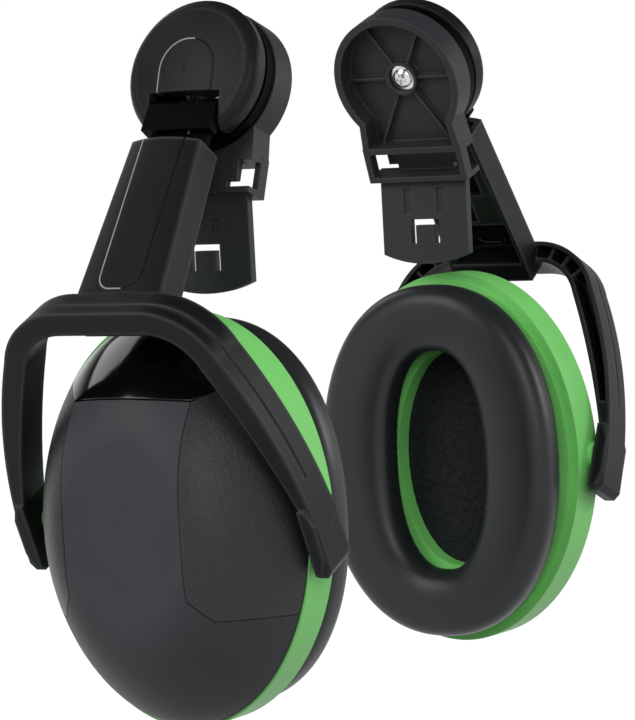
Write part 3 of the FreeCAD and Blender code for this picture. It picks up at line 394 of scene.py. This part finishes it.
def finish(name, colour, roughness, grain_mm, grain_deep_mm, specular=0.5, fleck=0.0, edge_mm=0.4,
           edge_light=0.0, metallic=0.0, wave_mm=0.0, wave_deep_mm=0.0, line=None):
    """A plastic or metal. A line is a function that gives the distance, in metres, to a groove."""
    material = bpy.data.materials.new(name)
    tree = empty_tree(material)
    point = add(tree, "ShaderNodeTexCoord").outputs["Object"]
    fine, broad, base = grain(tree, point, grain_mm, fleck, colour)
    # a painted highlight along the edges, where edge_light is set
    if edge_light:
        base = painted_edge_highlight(tree, base, edge_mm, edge_light)
    rounded = add(tree, "ShaderNodeBevel", samples=4, Radius=edge_mm / 1000)
    normal = add(tree, "ShaderNodeBump", {"Height": fine, "Normal": rounded.outputs[0]}, Strength=1.0,
                 Distance=grain_deep_mm / 1000).outputs[0]
    # the groove's walls get painted shade and a painted highlight
    if line:
        base, normal = engrave(tree, point, line, base, normal)
    if wave_mm:
        wave = add(tree, "ShaderNodeTexNoise", {"Vector": point}, Scale=1000 / wave_mm, Detail=1.0)
        normal = add(tree, "ShaderNodeBump", {"Height": wave.outputs["Fac"], "Normal": normal}, Strength=1.0,
                     Distance=wave_deep_mm / 1000).outputs[0]
    gloss = add(tree, "ShaderNodeMapRange", {"Value": broad}, To_Min=roughness * (1 - CLOUD_GLOSS),
                To_Max=min(1.0, roughness * (1 + CLOUD_GLOSS)), **NOISE)
    shader = add(tree, "ShaderNodeBsdfPrincipled",
                 {"Base Color": base, "Normal": normal, "Roughness": gloss.outputs[0]},
                 Metallic=metallic, Specular_IOR_Level=specular)
    add(tree, "ShaderNodeOutputMaterial", {"Surface": shader.outputs[0]})
    return material


print("a finish has", len(finish.__defaults__), "settings that may be left out")

# %% [markdown]
# The two engraved lines are both a long U. They are drawn on the face itself, whose place and lean come from
# the joints: the cap's face looks along the hub's axis, and the arm's face lies along its slide. The distance
# outward is the size of x, so both muffs share one line.

# %% Where the lines run
swing, fold, slide = (JOINT[f"left_{name}"] for name in ("hub_swing", "arm_fold", "arm_slide"))
HUB = (swing["pos_m"][0], swing["pos_m"][2])
HUB_TILT = math.atan2(swing["axis"][2], swing["axis"][0])
PIN = (fold["pos_m"][0], fold["pos_m"][2])
ARM_LEAN = math.atan2(slide["axis"][0], -slide["axis"][2])
# the wall behind REAR_FROM gets the painted highlight, and the one in front the painted shade
REAR_FROM = -0.0015         # the wall behind this y catches the light
OUT_OF_REACH = 0.01         # added to the distance where there is no groove


def long_u(origin, lean, half_width, end, corner, face):
    """Distance to a groove round a box with rounded corners, on a face that leans outward.

    origin is (outward, up). The box is half_width each way from the middle and ends at end, down the face or,
    if negative, up it. Only what stands out beyond face, on the face's own normal, is cut. The distance is
    the size of |max(v, 0)| + min(max(v), 0) - corner, with v how far a point lies beyond the box's flats."""
    def build(tree, point):
        split = add(tree, "ShaderNodeSeparateXYZ", {"Vector": point})
        outward = add(tree, "ShaderNodeMath", {0: split.outputs["X"]}, operation="ABSOLUTE")
        aside = add(tree, "ShaderNodeMath", {0: split.outputs["Y"]}, operation="ABSOLUTE")
        folded = add(tree, "ShaderNodeCombineXYZ", {0: outward.outputs[0], 1: 0.0, 2: split.outputs["Z"]})
        local = add(tree, "ShaderNodeVectorMath", {0: folded.outputs[0], 1: (origin[0], 0.0, origin[1])},
                    operation="SUBTRACT")
        sine, cosine = math.sin(lean), math.cos(lean)
        down = add(tree, "ShaderNodeVectorMath", {0: local.outputs[0], 1: (sine, 0, -cosine)},
                   operation="DOT_PRODUCT")
        height = add(tree, "ShaderNodeVectorMath", {0: local.outputs[0], 1: (cosine, 0, sine)},
                     operation="DOT_PRODUCT")
        beyond = add(tree, "ShaderNodeMath", {0: down.outputs["Value"], 1: math.copysign(1, end),
                                              2: corner - abs(end)}, operation="MULTIPLY_ADD").outputs[0]
        beside = add(tree, "ShaderNodeMath", {0: aside.outputs[0], 1: half_width - corner},
                     operation="SUBTRACT").outputs[0]
        past = add(tree, "ShaderNodeCombineXYZ", {0: beyond, 1: beside, 2: 0.0})
        outer = add(tree, "ShaderNodeVectorMath", {0: past.outputs[0], 1: (0, 0, 0)}, operation="MAXIMUM")
        reach = add(tree, "ShaderNodeVectorMath", {0: outer.outputs[0]}, operation="LENGTH")
        nearer = add(tree, "ShaderNodeMath", {0: beyond, 1: beside}, operation="MAXIMUM")
        inner = add(tree, "ShaderNodeMath", {0: nearer.outputs[0], 1: 0.0}, operation="MINIMUM")
        box = add(tree, "ShaderNodeMath", {0: reach.outputs["Value"], 1: inner.outputs[0]}, operation="ADD")
        signed = add(tree, "ShaderNodeMath", {0: box.outputs[0], 1: corner}, operation="SUBTRACT")
        away = add(tree, "ShaderNodeMath", {0: signed.outputs[0]}, operation="ABSOLUTE")
        under = add(tree, "ShaderNodeMath", {0: height.outputs["Value"], 1: face}, operation="LESS_THAN")
        on_face = add(tree, "ShaderNodeMath", {0: under.outputs[0], 1: OUT_OF_REACH, 2: away.outputs[0]},
                      operation="MULTIPLY_ADD")
        rear = add(tree, "ShaderNodeMath", {0: split.outputs["Y"], 1: REAR_FROM}, operation="GREATER_THAN")
        return on_face.outputs[0], rear.outputs[0]
    return build


ARM_LINE = long_u(PIN, ARM_LEAN, half_width=0.0066, end=0.0590, corner=0.0045, face=0.0045)
CAP_LINE = long_u(HUB, HUB_TILT, half_width=0.0086, end=-0.0083, corner=0.0084, face=0.0150)
print("hub tilt", round(math.degrees(HUB_TILT), 1), "arm lean", round(math.degrees(ARM_LEAN), 1))

# %% [markdown]
# Adapter, hub cap and arm are glass-filled nylon, moulded in one kind of tool: near black, fine grain, a low
# even sheen. Their shades differ a little, and the adapter is the greyest. The ring under the hub, the tongue
# and the catch are plain nylon, smooth so that they slide.

# %% Nylon finishes
# Grey-black with a low sheen, and a painted highlight along its edges.
adapter_nylon = finish("moulded_black_nylon", "#2a2c2f", 0.50, grain_mm=0.55, grain_deep_mm=0.050,
                       specular=0.22, fleck=0.16, edge_mm=0.5, edge_light=0.10)
# The same moulding, blacker, with the strongest painted highlight along its edges.
arm_nylon = finish("moulded_arm_nylon", "#121315", 0.42, grain_mm=0.55, grain_deep_mm=0.050, specular=0.14,
                   fleck=0.20, edge_mm=0.9, edge_light=0.20, line=ARM_LINE)
# A deeper grain that speckles where its domed edge turns to the light, and a faint painted highlight on its
# edges.
cap_nylon = finish("moulded_cap_nylon", "#141618", 0.42, grain_mm=0.55, grain_deep_mm=0.090, specular=0.14,
                   fleck=0.24, edge_mm=0.7, edge_light=0.05, line=CAP_LINE)
# The blackest piece, with almost no sheen.
sliding_nylon = finish("smooth_matt_black_nylon", "#020203", 0.60, grain_mm=0.40, grain_deep_mm=0.010,
                       specular=0.05, edge_mm=0.2)
print("nylons", adapter_nylon.name, arm_nylon.name, cap_nylon.name, sliding_nylon.name)

# %% [markdown]
# The cup is ABS from tools of three kinds: a coarse spark-eroded one for the shell, a smooth one for the
# front panel and the ring, and a polished one for the piece above the crease. The small metal pieces are
# plated steel and brass, which mirror the white studio in a few bright points.

# %% Cup and metal finishes
# Coarse pits that speckle at a low light.
shell_abs = finish("spark_grained_black_abs", "#232527", 0.42, grain_mm=0.62, grain_deep_mm=0.150,
                   specular=0.34, fleck=0.42, edge_mm=0.4)
# Satin and a shade greyer, so that it stands out from the shell.
panel_abs = finish("satin_grey_abs", "#3b3c3f", 0.50, grain_mm=0.35, grain_deep_mm=0.006, specular=0.14,
                   edge_mm=0.3)
# Close to a mirror: black, with a soft pale patch where it faces the horizon.
gloss_abs = finish("polished_black_abs", "#070708", 0.11, grain_mm=0.35, grain_deep_mm=0.0003, specular=0.40,
                   edge_mm=0.5)
# Bright, even and satin: the colour goes all through the plastic.
green_abs = finish("satin_green_abs", "#78cf6c", 0.44, grain_mm=0.45, grain_deep_mm=0.010, specular=0.30,
                   edge_mm=0.4)
# Cool and bright, with small sharp reflections.
steel = finish("bright_zinc_plated_steel", "#d4d5d6", 0.22, grain_mm=0.30, grain_deep_mm=0.004, metallic=1.0,
               edge_mm=0.15)
# Warm yellow, turned smooth.
brass = finish("machined_brass", "#c9a35a", 0.28, grain_mm=0.30, grain_deep_mm=0.004, metallic=1.0,
               edge_mm=0.15)
print("abs", shell_abs.name, panel_abs.name, gloss_abs.name, green_abs.name)

# %% Put the finishes on
FINISH = {
    "adapter": adapter_nylon, "index_ring": sliding_nylon, "screw_washer": steel, "pivot_screw": steel,
    "threaded_insert": brass, "disc_spring": steel, "hub_cap": cap_nylon, "hinge_pin": steel,
    "press_spring": steel, "slide_strap": sliding_nylon, "yoke_arm": arm_nylon,
    "height_catch": sliding_nylon, "cup_shell": shell_abs, "front_panel": panel_abs, "top_panel": gloss_abs,
    "seat_ring": green_abs, "pivot_studs": steel, "cushion_plate": green_abs,
}
SIDES = ("left", "right")
for side in SIDES:
    for piece, material in FINISH.items():
        node = frame["nodes"][f"{side}_{piece}"]
        node.data.materials.clear()
        node.data.materials.append(material)
print("finished nodes", len(SIDES) * len(FINISH))

# %% [markdown]
# ## Soft pieces
# Both soft pieces sit in the cup's own frame: its middle is the middle of the bright ring, a little inside
# the pivot axis, x runs down the cup, y to the side and z out from the head. On the left side the frame leans
# by half a degree from the upright, and the right side is the left side turned half a turn about the upright.

# %% Cup frame
CUP_LEAN = math.radians(0.5)
PIVOT_OUT = 0.0032          # ring's middle to the pivot axis
RING_HIGH = 0.0120          # height of the bright ring
PLATE = 0.0012              # thickness of the plate under the cushion
HALF_TURN = np.array([-1.0, -1.0, 1.0])


def to_frame(points, side):
    """Cup frame to the shared frame: turn about Y by 90 degrees and the lean, then shift to the pivot."""
    angle = math.pi / 2 + CUP_LEAN
    c, s = math.cos(angle), math.sin(angle)
    x, y, z = points[..., 0], points[..., 1], points[..., 2] - PIVOT_OUT
    turned = np.stack([c * x + s * z, y, -s * x + c * z], -1)
    if side == "right":
        turned = turned * HALF_TURN
    return turned + np.array(JOINT[f"{side}_cup_tilt"]["pos_m"])


print("left ring's middle", np.round(to_frame(np.zeros(3), "left"), 4).tolist())

# %% [markdown]
# The cushion is a foam ring in a thin smooth skin. Its path is the oval half way between its inner and outer
# edge, and its section is a rounded bump: pulled in outside, where the skin is welded to its plate, with a
# long slope from its crest to the ear opening. Pressing the weld gives faint puckers round the inner wall.
# The real skin is moulded and has no seam, so a formula gives its shape without any cloth to simulate.

# %% Cushion outline
CUSHION_TALL, CUSHION_WIDE, EDGE_POWER = 0.0528, 0.0391, 2.2        # half sizes, and how square the oval is
OPEN_TALL, OPEN_WIDE, OPEN_POWER = 0.0329, 0.0164, 2.4


def oval(angle, tall, wide, power):
    """Radius of an oval that is squarer than an ellipse: (|cos/tall|^p + |sin/wide|^p)^(-1/p)."""
    return (np.abs(np.cos(angle) / tall) ** power + np.abs(np.sin(angle) / wide) ** power) ** (-1 / power)


def signed_power(value, power):
    """The size of a value raised to a power, with its own sign."""
    return np.sign(value) * np.abs(value) ** power


print("cushion", 2000 * CUSHION_TALL, "by", 2000 * CUSHION_WIDE, "mm")

# %% Cushion surface
CUSHION_HIGH = 0.0150
ACROSS, ALONG = 96, 256             # points round the section and along the path
SIDE_POWER, TOP_POWER = 0.80, 0.72  # below 1 makes the section fuller than a circle
PULLED_IN = 0.10                    # share of the half width lost at the outer foot
CREST_OUT = 0.24                    # share of the half width that the crest lies outward
PUCKER_DEEP, PUCKERS, UNEVEN = 0.00010, 61, 5


def cushion_points():
    """Radius = middle of the band + half its width * (cos(v)^side, pulled in at the foot, + crest) + pucker;
    height = sin(v)^top, from the plate up."""
    u = np.linspace(0, 2 * np.pi, ALONG, endpoint=False)
    v = np.linspace(0, 2 * np.pi, ACROSS, endpoint=False)
    u, v = np.meshgrid(u, v, indexing="ij")
    angle = np.arctan2((CUSHION_WIDE + OPEN_WIDE) * np.sin(u), (CUSHION_TALL + OPEN_TALL) * np.cos(u))
    outer = oval(angle, CUSHION_TALL, CUSHION_WIDE, EDGE_POWER)
    inner = oval(angle, OPEN_TALL, OPEN_WIDE, OPEN_POWER)
    middle, half = (outer + inner) / 2, (outer - inner) / 2
    out = signed_power(np.cos(v), SIDE_POWER)
    up = (signed_power(np.sin(v), TOP_POWER) + 1) / 2
    pinch = 1 - np.where(out > 0, PULLED_IN, 0.0) * (1 - up) ** 3
    crest = CREST_OUT * up * (1 - np.abs(out))
    pucker = PUCKER_DEEP * np.sin(PUCKERS * u + 2 * np.sin(UNEVEN * u)) * np.clip(-out, 0, 1) * (1 - up)
    radius = middle + half * (out * pinch + crest) + pucker
    depth = -(RING_HIGH / 2 + PLATE) - CUSHION_HIGH * up
    return np.stack([radius * np.cos(angle), radius * np.sin(angle), depth], -1)


print("cushion grid", cushion_points().shape)

# %% Cushions
# A soft polymer skin: dark grey with a satin sheen that draws a broad line along each turn.
skin = finish("soft_grey_polymer_skin", "#1f2123", 0.38, grain_mm=0.50, grain_deep_mm=0.004, specular=0.34,
              edge_mm=0.05, wave_mm=9.0, wave_deep_mm=0.05)
for side in SIDES:
    cushion = grid_mesh(f"{side}_soft_cushion", to_frame(cushion_points(), side), True, True)
    cushion.data.materials.append(skin)
    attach(cushion, f"{side}_cup")
    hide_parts(f"{side}_ear_cushion")
print("cushions made")

# %% [markdown]
# The foam in the cup is cut from an open-cell sheet and pushed in behind the ring. It fills the ear opening
# nearly to the ring, goes under the plate, and rounds over at its rim. Its cells are too fine to model or to
# show, so a noise of about a millimetre stands for them.

# %% Foam surface
FOAM_TALL, FOAM_WIDE = 0.0512, 0.0375
FOAM_AROUND, FOAM_RINGS = 160, 72
# Along the way from the middle of the face (0), round the rim and to the middle of the back (1): the share of
# the half size reached there, and the depth below the ring's inner face in metres.
FOAM_REACH = ((0, 0), (0.42, 0.52), (0.58, 0.66), (0.70, 0.985), (0.76, 1), (0.80, 1), (0.86, 0.985), (1, 0))
FOAM_DEPTH = ((0, 0.0052), (0.42, 0.0046), (0.52, 0.0046), (0.58, 0.0050), (0.60, 0.0054), (0.70, 0.0055),
              (0.76, 0.0062), (0.80, 0.0128), (0.86, 0.0138), (1, 0.0138))
CELL_DEEP, CELLS_ROUND, CELLS_OUT = 0.00012, 37, 53


def foam_points():
    """A closed lens of ovals, with bumps of sin(a turns + 90 reach) * sin(b pi reach)."""
    u = np.linspace(0, 2 * np.pi, FOAM_AROUND, endpoint=False)
    way = np.linspace(0, 1, FOAM_RINGS)
    reach = np.interp(way, *np.transpose(FOAM_REACH))[:, None]
    depth = np.interp(way, *np.transpose(FOAM_DEPTH))[:, None]
    bumps = CELL_DEEP * np.sin(CELLS_ROUND * u + 90 * reach) * np.sin(CELLS_OUT * reach * np.pi)
    return np.stack([FOAM_TALL * reach * np.cos(u), FOAM_WIDE * reach * np.sin(u),
                     -RING_HIGH / 2 + depth + bumps], -1)


print("foam grid", foam_points().shape)

# %% Foam
# Open-cell polyurethane foam: quite without sheen, and mottled.
foam_finish = finish("dark_open_cell_foam", "#232528", 0.95, grain_mm=1.1, grain_deep_mm=0.40, specular=0.10,
                     fleck=0.34, edge_mm=0.05, wave_mm=5.0, wave_deep_mm=0.3)
for side in SIDES:
    foam = grid_mesh(f"{side}_foam", to_frame(foam_points(), side), True, False)
    foam.data.materials.append(foam_finish)
    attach(foam, f"{side}_cup")
    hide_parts(f"{side}_foam_insert")
print("foam made")
